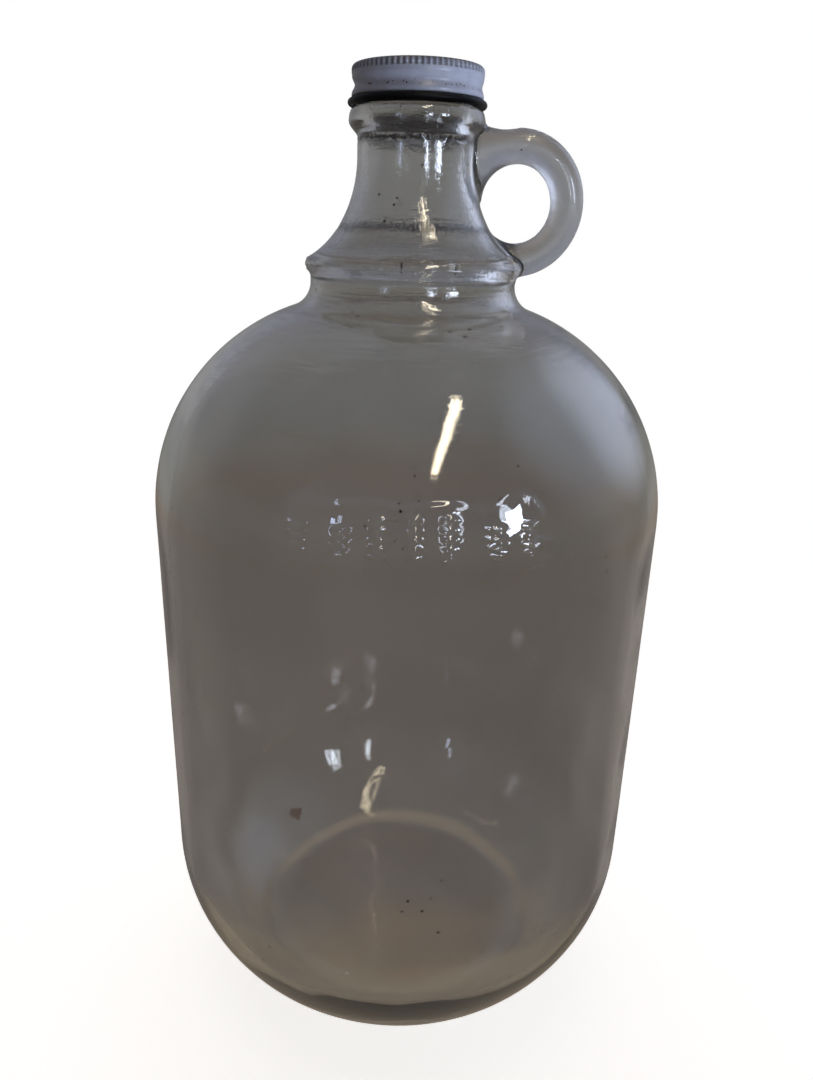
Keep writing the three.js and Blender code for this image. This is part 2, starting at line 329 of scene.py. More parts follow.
def glass_body(settings, outside):
    """The smooth glass, turned from its profile, with its ripples, thread and marks moved in."""
    body_r = settings.body_radius / MM - GLASS_INSET
    neck_r = settings.neck_radius / MM
    bm = bmesh.new()
    inner = bm.verts.layers.int.new("inner")
    bm.verts.layers.int.new("soft")
    bm.verts.layers.float.new("frost")
    verts = profile_edges(bm, outside + glass_inside(body_r, neck_r, settings.wall / MM),
                          math.radians(-90 - FRONT_HALF_DEG))
    for v in verts[len(outside):]:
        v[inner] = 1
    front = math.radians(2 * FRONT_HALF_DEG)
    last = bm.verts[:] + bm.edges[:]
    for sweep, columns in ((front, FRONT_COLUMNS), (math.tau - front, REST_COLUMNS)):
        last = bmesh.ops.spin(bm, geom=last, cent=(0, 0, 0), axis=(0, 0, 1), angle=sweep,
                              steps=columns, use_merge=False)["geom_last"]
    bmesh.ops.remove_doubles(bm, verts=bm.verts, dist=2e-6)
    for v in bm.verts:
        p = v.co.copy()
        r, z = math.hypot(p.x, p.y) / MM, p.z / MM
        if r < 0.01:
            continue
        if v[inner]:
            push, lift = inner_push(p, z, settings.ripple / MM)
            v.co.z += lift * MM
        else:
            push = min(outer_push(p, math.atan2(p.x, -p.y), r, z, neck_r), body_r - r)
        k = 1 + push / r
        v.co.x, v.co.y = p.x * k, p.y * k
    return bm, inner


class NeckBar:
    """The round bar of the finger ring, as lines along it. A line's side is its angle round the bar, from 0
    on the outermost line, and the ring's own angle is 90 degrees at its top, where the root begins."""

    def __init__(self, ring_r, outside):
        self.ring_r = ring_r
        self.neck = [point for point in outside if point[1] > SHOULDER_Z]
        self.sides = [math.tau * i / BAR_SIDES for i in range(BAR_SIDES)]

    def neck_radius(self, z):
        for (r0, z0), (r1, z1) in zip(self.neck, self.neck[1:]):
            if z0 < z1 and z <= z1:
                return r0 + (r1 - r0) * (z - z0) / (z1 - z0)
        return self.neck[-1][0]

    def on_neck(self, y, z, gap=0.0):
        return Vector((math.sqrt((self.neck_radius(z) + gap) ** 2 - y * y), y, z))

    def on_ring(self, side, turn):
        out = BAR_THICK * math.cos(side)
        return Vector((RING_X + (self.ring_r + out) * math.cos(turn), BAR_WIDE * math.sin(side),
                       RING_MID_Z + (self.ring_r * RING_STRETCH + out) * math.sin(turn)))

    def root_line(self, side, part):
        """From the top of the ring to the neck: a quarter ellipse that arrives upright."""
        start = self.on_ring(side, math.pi / 2)
        end = self.on_neck(ROOT_HALF_Y * math.sin(side), ROOT_MID_Z + ROOT_HALF_Z * math.cos(side),
                           FILLET_GAP)
        along, down = math.sin(part * math.pi / 2), 1 - math.cos(part * math.pi / 2)
        dip = ROOT_DIP * math.sin(math.pi * along) * max(0.0, math.cos(side))
        return Vector((start.x + (end.x - start.x) * along, start.y + (end.y - start.y) * down,
                       start.z + (end.z - start.z) * down - dip))

    def foot_turn(self, side):
        """The ring's angle at which a line comes within the fillet's gap of the flare, found by halving."""
        high, low = math.radians(-40), math.radians(-150)
        for _ in range(24):
            turn = (high + low) / 2
            p = self.on_ring(side, turn)
            if math.hypot(p.x, p.y) - self.neck_radius(p.z) > FILLET_GAP:
                high = turn
            else:
                low = turn
        return high

    def root_rings(self, count):
        return [[self.root_line(side, i / count) for side in self.sides] for i in range(1, count + 1)]

    def foot_rings(self, count):
        top = math.pi / 2
        ends = [self.foot_turn(side) for side in self.sides]
        return [[self.on_ring(side, top + (end - top) * i / count) for side, end in zip(self.sides, ends)]
                for i in range(1, count + 1)]


def loop_edges(verts):
    """Edges that join a closed row of vertices."""
    row = set(verts)
    return list({e for v in verts for e in v.link_edges if set(e.verts) <= row})


def draw_on(bm, verts, places):
    """Extrudes a ring of vertices on to new places, in mm, and returns the new ring."""
    made = bmesh.ops.extrude_edge_only(bm, edges=loop_edges(verts))["geom"]
    fresh = {g for g in made if isinstance(g, bmesh.types.BMVert)}
    ring = [next(e.other_vert(v) for e in v.link_edges if e.other_vert(v) in fresh) for v in verts]
    for v, place in zip(ring, places):
        v.co = place * MM
    return ring


def cut_outline(bm, inner, bar, ends):
    """Cuts the outer glass open where an end of the bar meets it, and returns the edges of the hole.
    The hole is wider than the bar by the fillet's spread, and its edge is drawn on to a smooth outline."""
    heights = [p.z for p in ends]
    mid_z, half_z = (max(heights) + min(heights)) / 2, (max(heights) - min(heights)) / 2
    half_y = max(p.y for p in ends)
    outline = []
    for p in ends:
        y, z = p.y * (1 + FILLET_SPREAD / half_y), mid_z + (p.z - mid_z) * (1 + FILLET_SPREAD / half_z)
        outline.append((math.atan2(y / half_y, (z - mid_z) / half_z) % math.tau, y, z))
    outline.sort()
    before, after = outline[-1], outline[0]
    outline = [(before[0] - math.tau, *before[1:]), *outline, (after[0] + math.tau, *after[1:])]

    def outline_at(v):
        y, z = v.co.y / MM / half_y, (v.co.z / MM - mid_z) / half_z
        turn = math.atan2(y, z) % math.tau
        for (t0, y0, z0), (t1, y1, z1) in zip(outline, outline[1:]):
            if t0 <= turn <= t1:
                k = (turn - t0) / max(1e-9, t1 - t0)
                return y0 + (y1 - y0) * k, z0 + (z1 - z0) * k
        raise ValueError("no outline at this angle")

    def inside(v):
        if v[inner] or v.co.x < 0 or abs(v.co.y) / MM > 2 * half_y or abs(v.co.z / MM - mid_z) > 2 * half_z:
            return False
        y, z = outline_at(v)
        return math.hypot(v.co.y / MM / half_y, (v.co.z / MM - mid_z) / half_z) < math.hypot(
            y / half_y, (z - mid_z) / half_z)

    faces = list({f for v in bm.verts if inside(v) for f in v.link_faces})
    patch = set(faces)
    edges = [e for f in faces for e in f.edges if sum(1 for g in e.link_faces if g in patch) == 1]
    bmesh.ops.delete(bm, geom=faces, context="FACES_KEEP_BOUNDARY")
    for v in {v for e in edges for v in e.verts}:
        v.co = bar.on_neck(*outline_at(v)) * MM
    return edges


def bridge_end(bm, hole, ring):
    """Bridges a hole in the glass to an end of the bar, and returns the edges that cross the bridge."""
    soft = bm.verts.layers.int["soft"]
    rim = {v for e in hole for v in e.verts}
    for v in [*rim, *ring]:
        v[soft] = 1
    bmesh.ops.bridge_loops(bm, edges=hole + loop_edges(ring))
    return [e for v in ring for e in v.link_edges if e.other_vert(v) in rim]


def round_fillets(bm, across):
    """Cuts the bridges across and smooths them into fillets."""
    soft = bm.verts.layers.int["soft"]
    cut = bmesh.ops.subdivide_edges(bm, edges=across, cuts=2, use_grid_fill=True)["geom_inner"]
    verts = {g for g in cut if isinstance(g, bmesh.types.BMVert)} | {v for v in bm.verts if v[soft]}
    for _ in range(4):
        bmesh.ops.smooth_vert(bm, verts=list(verts), factor=0.5,
                              use_axis_x=True, use_axis_y=True, use_axis_z=True)


def add_finger_ring(bm, inner, bar):
    """Adds the finger ring to the neck, with a fillet at each end, and marks how frosted the glass is."""
    first = bmesh.ops.create_circle(bm, cap_ends=False, radius=1, segments=BAR_SIDES)["verts"]
    for v, side in zip(first, bar.sides):
        v.co = bar.on_ring(side, math.pi / 2) * MM
    across = []
    for rings in (bar.root_rings(12), bar.foot_rings(46)):
        hole = cut_outline(bm, inner, bar, rings[-1])
        ring = first
        for places in rings:
            ring = draw_on(bm, ring, places)
        across += bridge_end(bm, hole, ring)
    round_fillets(bm, across)
    frost = bm.verts.layers.float["frost"]
    for v in bm.verts:
        x, y, z = v.co / MM
        if not v[inner] and x > 0 and abs(y) < 2 * BAR_WIDE and RING_FOOT_Z - 1 < z < BEAD_TOP - 1:
            v[frost] = smooth_step((math.hypot(x, y) - bar.neck_radius(z)) / 2.5)


class JUG_OT_glass(bpy.types.Operator):
    """Makes the glass: body, neck, bead, thread, finger ring and moulded marks in one closed shape"""

    bl_idname = "jug.glass"
    bl_label = "Glass"

    def execute(self, context):
        settings = context.scene.jug_glass
        outside = glass_outside(settings.body_radius / MM - GLASS_INSET, settings.neck_radius / MM)
        bm, inner = glass_body(settings, outside)
        add_finger_ring(bm, inner, NeckBar(settings.ring_radius / MM, outside))
        open_edges = [e for e in bm.edges if len(e.link_faces) != 2]
        if open_edges:
            raise RuntimeError(f"the glass has {len(open_edges)} open edges")
        finish_piece(bm, "jug_glass", soda_lime_glass(settings), ["glass_jug"])
        return {"FINISHED"}


def soda_lime_glass(settings):
    """Soda-lime container glass, pressed and blown. Clear with a grey cast. The body's skin is
    fire-polished, the neck's is finely hammered by the mould, so that lights break up on it, and the
    finger ring's is frosted by handling. Dust, dark specks and one dried drop lie on it. The coat is the
    polished top of the skin, which keeps small lights crisp."""
    material, tree = new_material("soda_lime_glass")
    place = node(tree, "TexCoord").outputs["Object"]
    height = node(tree, "SeparateXYZ", links={"Vector": place}).outputs["Z"]
    frost = node(tree, "Attribute", attribute_name="frost").outputs["Fac"]

    # hammered skin, 1 mm dimples, from the lower neck upwards
    peel = node(tree, "TexNoise", {"Scale": 1000, "Detail": 2, "Roughness": 0.5}, {"Vector": place})
    upper = node(tree, "MapRange",
                 {"From Min": HAMMERED[0], "From Max": HAMMERED[1], "To Min": 0.02, "To Max": 0.6},
                 {"Value": height}, interpolation_type="SMOOTHSTEP")
    dimples = node(tree, "Math", links={0: peel.outputs["Fac"], 1: upper.outputs["Result"]},
                   operation="MULTIPLY")

    # level ripples left by the blow mould, 1.2 mm apart, on the shoulder and the lower neck
    flat = node(tree, "Mapping", {"Scale": (60, 60, 830)}, {"Vector": place})
    ripple = node(tree, "TexNoise", {"Scale": 1, "Detail": 2, "Distortion": 0.4},
                  {"Vector": flat.outputs["Vector"]})
    high = node(tree, "MapRange", {"From Min": RIPPLED[0], "From Max": RIPPLED[1], "To Max": 0.8},
                {"Value": height}, interpolation_type="SMOOTHSTEP")
    rippled = node(tree, "Math", operation="MULTIPLY_ADD",
                   links={0: ripple.outputs["Fac"], 1: high.outputs["Result"], 2: dimples.outputs[0]})
    skin = node(tree, "Bump", {"Strength": 1.0, "Distance": 0.00013}, {"Height": rippled.outputs[0]})

    # specks of dust up to 1 mm across, thicker in drifts
    grains = node(tree, "TexVoronoi", {"Scale": 190}, {"Vector": place})
    drift = node(tree, "TexNoise", {"Scale": 22, "Detail": 2}, {"Vector": place})
    size = node(tree, "MapRange", {"From Min": 0.4, "From Max": 0.68, "To Max": 0.11},
                {"Value": drift.outputs["Fac"]})
    within = node(tree, "Math", links={0: size.outputs["Result"], 1: grains.outputs["Distance"]},
                  operation="SUBTRACT")
    speck = node(tree, "MapRange", {"From Max": 0.01}, {"Value": within.outputs[0]})
    milky = node(tree, "Mix", {"A": settings.tint, "B": (1, 1, 1, 1)}, {"Factor": frost}, data_type="RGBA")
    dusty = node(tree, "Mix", {"B": settings.dirt},
                 {"A": milky.outputs["Result"], "Factor": speck.outputs["Result"]}, data_type="RGBA")

    # dust settled inside, on the middle of the floor, up to 45 mm from the axis
    flat_place = node(tree, "VectorMath", {1: (1, 1, 0)}, {0: place}, operation="MULTIPLY")
    radius = node(tree, "VectorMath", links={0: flat_place.outputs["Vector"]}, operation="LENGTH")
    middle = node(tree, "MapRange",
                  {"From Min": FILM_EDGE[0], "From Max": FILM_EDGE[1], "To Min": 1.0, "To Max": 0.0},
                  {"Value": radius.outputs["Value"]}, interpolation_type="SMOOTHSTEP")
    low = node(tree, "MapRange",
               {"From Min": FILM_TOP[0], "From Max": FILM_TOP[1], "To Min": 1.0, "To Max": 0.0},
               {"Value": height})
    patchy = node(tree, "MapRange", {"From Min": 0.35, "From Max": 0.62, "To Min": 0.35, "To Max": 1.0},
                  {"Value": drift.outputs["Fac"]})
    settled = node(tree, "Math", links={0: middle.outputs["Result"], 1: low.outputs["Result"]},
                   operation="MULTIPLY")
    thick = node(tree, "Math", links={0: settled.outputs[0], 1: patchy.outputs["Result"]},
                 operation="MULTIPLY")
    filmed = node(tree, "Mix", {"B": settings.film},
                  {"Factor": thick.outputs[0], "A": dusty.outputs["Result"]}, data_type="RGBA")

    # rough dark grit in the mould lines round the neck
    grit = node(tree, "TexNoise", {"Scale": 1500, "Detail": 3, "Roughness": 0.7}, {"Vector": place})
    drawn = filmed.outputs["Result"]
    for line, half, most in GRIT_LINES:
        off = node(tree, "Math", {1: line * MM}, {0: height}, operation="SUBTRACT")
        far = node(tree, "Math", links={0: off.outputs[0]}, operation="ABSOLUTE")
        near = node(tree, "MapRange", {"From Max": half * MM, "To Min": 0.17, "To Max": -0.2},
                    {"Value": far.outputs[0]})
        bare = node(tree, "Math", links={0: near.outputs["Result"], 1: frost}, operation="SUBTRACT")
        level = node(tree, "Math", links={0: grit.outputs["Fac"], 1: bare.outputs[0]}, operation="ADD")
        dark = node(tree, "MapRange", {"From Min": 0.47, "From Max": 0.62, "To Max": most},
                    {"Value": level.outputs[0]})
        drawn = node(tree, "Mix", {"B": settings.grit},
                     {"Factor": dark.outputs["Result"], "A": drawn}, data_type="RGBA").outputs["Result"]

    # the dried drop, 5 mm across, inside the heel at the back left
    torn = node(tree, "TexNoise", {"Scale": 500, "Detail": 2}, {"Vector": place})
    away = node(tree, "VectorMath", {1: STAIN_AT}, {0: place}, operation="DISTANCE")
    edge = node(tree, "MapRange", {"To Min": 0.0008, "To Max": 0.005}, {"Value": torn.outputs["Fac"]})
    drop = node(tree, "Math", links={0: edge.outputs["Result"], 1: away.outputs["Value"]},
                operation="SUBTRACT")
    wet = node(tree, "MapRange", {"From Max": 0.0004}, {"Value": drop.outputs[0]})
    stained = node(tree, "Mix", {"B": settings.stain},
                   {"Factor": wet.outputs["Result"], "A": drawn}, data_type="RGBA")

    rough = node(tree, "MapRange", {"To Min": 0.02, "To Max": 0.36}, {"Value": frost})
    glass = node(tree, "BsdfPrincipled",
                 {"IOR": 1.52, "Transmission Weight": 0.97, "Coat Weight": 0.45, "Coat Roughness": 0.04},
                 {"Base Color": stained.outputs["Result"], "Roughness": rough.outputs["Result"],
                  "Normal": skin.outputs["Normal"]})
    node(tree, "OutputMaterial", links={"Surface": glass.outputs["BSDF"]})
    return material


class CapSettings(bpy.types.PropertyGroup):
    """Sizes and colours of the cap."""

    radius: bpy.props.FloatProperty(
        name="Radius", description="Outer radius of the cap", default=0.0189, min=0.01, unit="LENGTH")
    height: bpy.props.FloatProperty(
        name="Height", description="Height of the cap", default=0.0084, min=0.004, unit="LENGTH")
    ribs: bpy.props.IntProperty(
        name="Ribs", description="Number of knurls round the edge", default=72, min=8)
    rib_depth: bpy.props.FloatProperty(
        name="Rib depth", description="How deep the knurls are", default=0.0004, min=0.0, unit="LENGTH")
    paint: colour_property("Paint", "Colour of the baked enamel", "#B9BEC9")
    # Colour of the painted shade that darkens the gaps between the ribs.
    rib_shade: colour_property("Rib shade", "Colour of the dirt between the ribs", "#35302F")
    rust: colour_property("Rust", "Colour of the rust specks", "#4A3326")


CAP_FOOT, CAP_SHEET, CAP_FLARE = 293.2, 0.5, 0.15
KNURL_HIGH, KNURL_BEVEL = 2.4, 1.3
GROOVE_Z, GROOVE_HALF, GROOVE_DEPTH = 296.2, 2.3, 0.7
GROOVE_DEEPER = 0.15  # by which it is deeper on the left and shallower on the right
CREASE_Z = 295.2  # where the paint has cracked, under the groove


def cap_push(angle, r, z, settings, top):
    """How far the cap's sheet is pressed in, by the groove and between the ribs, and how much painted shade it
    gets between the ribs.
    """
    across = (z - GROOVE_Z) / GROOVE_HALF
    push = 0.0
    if abs(across) < 1:
        push -= (GROOVE_DEPTH - GROOVE_DEEPER * math.sin(angle)) * (0.5 + 0.5 * math.cos(math.pi * across))
    radius, under = settings.radius / MM, top - KNURL_HIGH
    gap = 1 - (0.5 + 0.5 * math.cos(angle * settings.ribs)) ** 1.6
    on = smooth_step((z - under) / 0.6) * smooth_step((r - radius + 1.3) / 0.7)
    if r < radius - 1.4:
        on = 0.0
    return push - settings.rib_depth / MM * on * gap, on * gap


class JUG_OT_cap(bpy.types.Operator):
    """Makes the screw cap: a thin painted shell with a knurled edge, a rolled groove and a curled hem"""

    bl_idname = "jug.cap"
    bl_label = "Screw cap"

    def execute(self, context):
        settings = context.scene.jug_cap
        radius = settings.radius / MM
        top = CAP_FOOT + settings.height / MM
        under = top - KNURL_HIGH
        flat = [(0, top), (6, top), (12, top), (16.2, top), (17.0, top - 0.02)]
        crown = arc(radius - KNURL_BEVEL, top - KNURL_BEVEL, KNURL_BEVEL, KNURL_BEVEL, 90, 0, 9)
        knurl = upright(radius, top - KNURL_BEVEL, under, 5)[1:]
        skirt = [(radius - CAP_FLARE * (1 - i / 20) ** 2, under + (CAP_FOOT + 0.5 - under) * i / 20)
                 for i in range(1, 21)]
        hem = arc(radius - 0.28, CAP_FOOT + 0.28, 0.28, 0.28, 0, -180, 6)
        inner_r = radius - CAP_SHEET - CAP_FLARE
        inside = upright(inner_r, CAP_FOOT + 0.5, top - 1.4, 12)
        roof = arc(inner_r - 0.9, top - 1.4, 0.9, 0.9, 0, 90, 4)[1:] + [(0, top - 0.5)]
        bm = bmesh.new()
        spin(bm, flat + crown + knurl + skirt + hem + inside + roof, settings.ribs * 6)
        # How much painted shade each vertex gets: full in the gaps between the ribs, none on the ridges.
        rib_shade = bm.verts.layers.float.new("rib_shade")
        for v in bm.verts:
            r, z = math.hypot(v.co.x, v.co.y) / MM, v.co.z / MM
            if r < 10:
                continue
            push, v[rib_shade] = cap_push(math.atan2(v.co.x, -v.co.y), r, z, settings, top)
            v.co.x *= 1 + push / r
            v.co.y *= 1 + push / r
        finish_piece(bm, "cap_shell", baked_enamel(settings), ["screw_cap"])
        return {"FINISHED"}


def baked_enamel(settings):
    """White baked enamel on tin plate, rolled and knurled: a semi-gloss bluish white, dulled by handling,
    with painted shade between the ribs and specks of rust along the crease, where the paint has cracked."""
    material, tree = new_material("baked_enamel")
    place = node(tree, "TexCoord").outputs["Object"]
    # Painted shade between the ribs: the paint is mixed towards a dark colour in the gaps of the knurling.
    rib_shade = node(tree, "Attribute", attribute_name="rib_shade").outputs["Fac"]
    wear = node(tree, "TexNoise", {"Scale": 260, "Detail": 4, "Roughness": 0.6}, {"Vector": place})
    worn = node(tree, "MapRange", {"From Min": 0.3, "From Max": 0.75, "To Min": 0.88, "To Max": 1.08},
                {"Value": wear.outputs["Fac"]})
    paint = node(tree, "VectorMath", {0: settings.paint[:3]}, {1: worn.outputs["Result"]},
                 operation="MULTIPLY")
    rib_shade_amount = node(tree, "Math", {1: 0.65}, {0: rib_shade}, operation="MULTIPLY")
    shaded_paint = node(tree, "Mix", {"B": settings.rib_shade},
                 {"Factor": rib_shade_amount.outputs[0], "A": paint.outputs["Vector"]}, data_type="RGBA")

    # rust specks of about 0.3 mm, only near the crease
    spots = node(tree, "TexNoise", {"Scale": 1100, "Detail": 2, "Roughness": 0.6}, {"Vector": place})
    height = node(tree, "SeparateXYZ", links={"Vector": place})
    near = node(tree, "Math", {1: CREASE_Z * MM}, {0: height.outputs["Z"]}, operation="SUBTRACT")
    off = node(tree, "Math", links={0: near.outputs[0]}, operation="ABSOLUTE")
    line = node(tree, "MapRange", {"From Max": 0.0009, "To Min": 0.16, "To Max": 0.0},
                {"Value": off.outputs[0]})
    level = node(tree, "Math", links={0: spots.outputs["Fac"], 1: line.outputs["Result"]},
                 operation="ADD")
    rusty = node(tree, "MapRange", {"From Min": 0.71, "From Max": 0.77}, {"Value": level.outputs[0]})
    colour = node(tree, "Mix", {"B": settings.rust},
                  {"Factor": rusty.outputs["Result"], "A": shaded_paint.outputs["Result"]}, data_type="RGBA")
    rough = node(tree, "MapRange", {"To Min": 0.24, "To Max": 0.42}, {"Value": wear.outputs["Fac"]})
    bump = node(tree, "Bump", {"Strength": 0.15, "Distance": 0.0001}, {"Height": wear.outputs["Fac"]})
    enamel = node(tree, "BsdfPrincipled", {"IOR": 1.5},
                  {"Base Color": colour.outputs["Result"], "Roughness": rough.outputs["Result"],
                   "Normal": bump.outputs["Normal"]})
    node(tree, "OutputMaterial", links={"Surface": enamel.outputs["BSDF"]})
    return material


class SealSettings(bpy.types.PropertyGroup):
    """Sizes and colours of the liner and the ring."""

    ring_radius: bpy.props.FloatProperty(
        name="Ring radius", description="Radius of the black ring's middle line", default=0.019, min=0.01,
        unit="LENGTH")
    ring_thick: bpy.props.FloatProperty(
        name="Ring thickness", description="Thickness of the black ring", default=0.0021, min=0.0005,
        unit="LENGTH")
    liner_radius: bpy.props.FloatProperty(
        name="Liner radius", description="Radius of the disc in the cap", default=0.0174, min=0.01,
        unit="LENGTH")
    rubber: colour_property("Rubber", "Colour of the ring", "#030303")
    board: colour_property("Board", "Colour of the liner", "#2A1E14")


class JUG_OT_seal(bpy.types.Operator):
    """Makes the black rubber ring between the cap and the bead"""

    bl_idname = "jug.seal"
    bl_label = "Black ring"

    def execute(self, context):
        settings = context.scene.jug_seal
        radius, half = settings.ring_radius / MM, settings.ring_thick / MM / 2
        bm = bmesh.new()
        points = arc(radius, BEAD_TOP + 0.3 + half, half, half, 0, 360, 16)
        spin(bm, points, 144)
        finish_piece(bm, "seal_band", black_rubber(settings.rubber), ["seal_ring"])
        return {"FINISHED"}


def black_rubber(colour):
    """Moulded black rubber, wiped and old: nearly black, with a soft satin light and a little bloom."""
    material, tree = new_material("black_rubber")
    place = node(tree, "TexCoord").outputs["Object"]
    bloom = node(tree, "TexNoise", {"Scale": 500, "Detail": 3}, {"Vector": place})
    rough = node(tree, "MapRange", {"To Min": 0.3, "To Max": 0.55}, {"Value": bloom.outputs["Fac"]})
    pits = node(tree, "Bump", {"Strength": 0.2, "Distance": 0.0001}, {"Height": bloom.outputs["Fac"]})
    rubber = node(tree, "BsdfPrincipled", {"Base Color": colour, "Specular IOR Level": 0.12},
                  {"Roughness": rough.outputs["Result"], "Normal": pits.outputs["Normal"]})
    node(tree, "OutputMaterial", links={"Surface": rubber.outputs["BSDF"]})
    return material


class JUG_OT_liner(bpy.types.Operator):
    """Makes the liner, the disc that the cap presses on the lip, with the lip's print in it"""

    bl_idname = "jug.liner"
    bl_label = "Cap liner"

    def execute(self, context):
        settings = context.scene.jug_seal
        radius = settings.liner_radius / MM
        top, bottom = LIP_Z + 1.2, LIP_Z + 0.3
        points = [(0, bottom), (8, bottom), (13.2, bottom), (13.9, bottom + 0.12), (16.9, bottom + 0.12),
                  (17.2, bottom), (radius - 0.12, bottom), (radius, bottom + 0.12), (radius, top - 0.12),
                  (radius - 0.12, top), (8, top), (0, top)]
        bm = bmesh.new()
        spin(bm, points, 96)
        finish_piece(bm, "liner_disc", pulp_board(settings.board), ["cap_liner"])
        return {"FINISHED"}


def pulp_board(colour):
    """Waxed pulp board, pressed: a dark brown with mottled fibres that only shows through the neck."""
    material, tree = new_material("pulp_board")
    place = node(tree, "TexCoord").outputs["Object"]
    fibre = node(tree, "TexNoise", {"Scale": 420, "Detail": 5, "Distortion": 1.2}, {"Vector": place})
    light = node(tree, "MapRange", {"To Min": 0.6, "To Max": 1.7}, {"Value": fibre.outputs["Fac"]})
    brown = node(tree, "VectorMath", {0: colour[:3]}, {1: light.outputs["Result"]}, operation="MULTIPLY")
    bump = node(tree, "Bump", {"Strength": 0.3, "Distance": 0.0001}, {"Height": fibre.outputs["Fac"]})
    board = node(tree, "BsdfPrincipled", {"Roughness": 0.6},
                 {"Base Color": brown.outputs["Vector"], "Normal": bump.outputs["Normal"]})
    node(tree, "OutputMaterial", links={"Surface": board.outputs["BSDF"]})
    return material


# The room that the glass shows, by elevation in degrees: what a ray that has left the glass meets
ROOM_TONES = ((-90, "#84796B"), (-50, "#84796B"), (-42, "#6C6662"), (-20, "#68625F"), (-16, "#675C50"),
              (-11, "#6E6E6B"), (-6, "#6E6E6B"), (-1, "#838383"), (6, "#838384"), (12, "#787A84"),
              (90, "#84889A"))

# Soft bright places: azimuth from -Y towards +X and elevation, inner and outer reach, all in degrees,
# then colour and radiance. The room's are for glass and gloss, the studio's for paint, rubber and the floor.
ROOM_GLOWS = ((124, 20, 4, 29, "#D6E2FF", 0.9), (98, 30, 3, 38, "#CFE0FF", 0.5),
              (-127, 12, 10, 40, "#DDE0E8", 0.12),
              (141, -24, 8, 24, "#FFF6EC", 0.12), (-140, -24, 8, 24, "#FFF6EC", 0.05))
STUDIO_GLOWS = ((68, -46, 10, 66, "#CBD6F0", 2.9), (-170, 66, 5, 50, "#DFE2EA", 0.9))

# Windows: azimuth, elevation, distance in m, width and height in m, radiance, colour
WINDOWS = (("window_wide", 45.5, 11.5, 2.0, 0.245, 0.456, 30, "#DCE8FF"),
           ("window_slim", 21.0, 11.0, 2.0, 0.11, 0.49, 30, "#DCE8FF"),
           ("window_far", -30.0, 8.0, 3.0, 0.1, 0.5, 10, "#C8D8FF"))

# Warm strips overhead: where they lie and how long they are in m, their radiance, then x and width of each
STRIP_Y, STRIP_Z, STRIP_LONG, STRIP_RADIANCE = -1.49, 2.2, 2.2, 30
STRIPS = (("strip_left", 0.535, 0.03), ("strip_middle", 0.6, 0.05), ("strip_right", 0.655, 0.02))

# Camera, in m, with its tilt up from straight down and its roll, in degrees
CAMERA_AT, CAMERA_TILT, CAMERA_ROLL = (0.0003, -0.2750, 0.2608), 69.592, 1.584


def heading(azimuth, elevation):
    """Unit vector towards a place in the room."""
    a, e = math.radians(azimuth), math.radians(elevation)
    return Vector((math.sin(a) * math.cos(e), -math.cos(a) * math.cos(e), math.sin(e)))


class StageSettings(bpy.types.PropertyGroup):
    """Floor, light and camera."""

    floor: colour_property("Floor", "Colour of the floor", "#F4F2EF")
    studio: colour_property("Studio", "Dim tone of the studio that lights the cap", "#4A403C")
    lens: bpy.props.FloatProperty(
        name="Lens", description="Focal length of the camera in mm, for a 36 mm frame", default=28.67, min=10)


def only_for(tree, ray, yes, no):
    """One shader for rays of a kind, and another for the rest."""
    path = node(tree, "LightPath")
    return node(tree, "MixShader", links={0: path.outputs[ray], 1: no.outputs[0], 2: yes.outputs[0]})


def with_glows(tree, way, colour, glows):
    """Adds soft bright places to a colour, by how near a ray's way is to each."""
    for azimuth, elevation, inner, outer, tone, radiance in glows:
        near = node(tree, "VectorMath", {1: heading(azimuth, elevation)}, {0: way},
                    operation="DOT_PRODUCT")
        part = node(tree, "MapRange",
                    {"From Min": math.cos(math.radians(outer)), "From Max": math.cos(math.radians(inner)),
                     "To Max": radiance}, {"Value": near.outputs["Value"]}, interpolation_type="SMOOTHSTEP")
        glow = node(tree, "VectorMath", {0: linear(tone)[:3]}, {"Scale": part.outputs["Result"]},
                    operation="SCALE")
        colour = node(tree, "VectorMath", links={0: colour, 1: glow.outputs["Vector"]},
                      operation="ADD").outputs["Vector"]
    return colour


